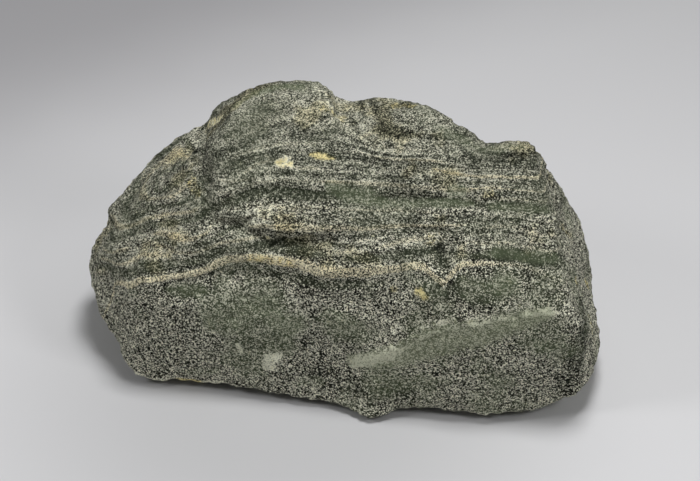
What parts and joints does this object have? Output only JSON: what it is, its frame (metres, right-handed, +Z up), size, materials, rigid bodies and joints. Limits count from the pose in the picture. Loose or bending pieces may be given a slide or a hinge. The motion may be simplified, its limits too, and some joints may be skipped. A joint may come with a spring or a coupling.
{
  "type": "laminated green sandstone block",
  "caption": "Hand-sized broken block of green, thinly bedded sandstone with a steep front, a ledged upper face and a small flat rest face.",
  "frame": {"origin": "middle of the bounding box in plan, at the height of the rest face", "axes": "+X along the block towards its steep end, -Y out of its broad front, +Z up"},
  "size_m": [0.1344, 0.079, 0.0701],
  "materials": {
    "sandstone": "rough, grainy, dull green-grey with pale beds"
  },
  "bodies": {
    "root": {"sandstone_block": "sandstone"}
  },
  "joints": []
}
